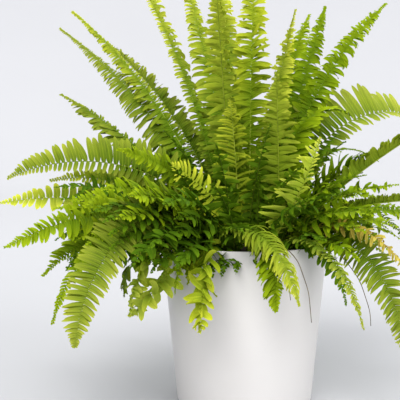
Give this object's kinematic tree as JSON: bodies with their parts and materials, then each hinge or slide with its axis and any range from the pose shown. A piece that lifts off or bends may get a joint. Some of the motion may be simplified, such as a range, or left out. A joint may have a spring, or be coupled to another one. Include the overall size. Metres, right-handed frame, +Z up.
{
  "type": "potted boston fern",
  "caption": "Boston fern with upright and arching toothed fronds and a few wiry runners, planted in a plain round tapered pot.",
  "frame": {"origin": "centre of the pot's flat underside", "axes": "+Z up along the pot's axis; -Y towards the front of the plant; +X to the right seen from the front"},
  "size_m": [0.8065, 0.696, 0.7014],
  "materials": {
    "pot_white": "satin",
    "soil_dark": "matte",
    "leaf_grown": "satin",
    "leaf_young": "satin",
    "leaf_old": "satin",
    "runner_brown": "matte"
  },
  "bodies": {
    "root": {"pot": "pot_white", "soil": "soil_dark", "frond_01": "leaf_young", "frond_02": "leaf_young", "frond_03": "leaf_grown", "frond_04": "leaf_young", "frond_05": "leaf_grown", "frond_06": "leaf_grown", "frond_07": "leaf_grown", "frond_08": "leaf_grown", "frond_09": "leaf_grown", "frond_10": "leaf_grown", "frond_11": "leaf_young", "frond_12": "leaf_grown", "frond_13": "leaf_grown", "frond_14": "leaf_grown", "frond_15": "leaf_young", "frond_16": "leaf_grown", "frond_17": "leaf_grown", "frond_18": "leaf_grown", "frond_19": "leaf_grown", "frond_20": "leaf_grown", "frond_21": "leaf_grown", "frond_22": "leaf_young", "frond_23": "leaf_young", "frond_24": "leaf_grown", "frond_25": "leaf_grown", "frond_26": "leaf_grown", "frond_27": "leaf_grown", "frond_28": "leaf_grown", "frond_29": "leaf_grown", "frond_30": "leaf_old", "frond_31": "leaf_grown", "frond_32": "leaf_grown", "frond_33": "leaf_grown", "frond_34": "leaf_young", "frond_35": "leaf_young", "frond_36": "leaf_grown", "frond_37": "leaf_grown", "frond_38": "leaf_grown", "frond_39": "leaf_grown", "frond_40": "leaf_grown", "frond_41": "leaf_grown", "frond_42": "leaf_grown", "frond_43": "leaf_grown", "frond_44": "leaf_grown", "frond_45": "leaf_grown", "frond_46": "leaf_grown", "frond_47": "leaf_grown", "frond_48": "leaf_grown", "frond_49": "leaf_grown", "frond_50": "leaf_grown", "frond_51": "leaf_grown", "frond_52": "leaf_grown", "frond_53": "leaf_grown", "frond_54": "leaf_grown", "runner_1": "runner_brown", "runner_2": "runner_brown", "runner_3": "runner_brown"}
  },
  "joints": []
}
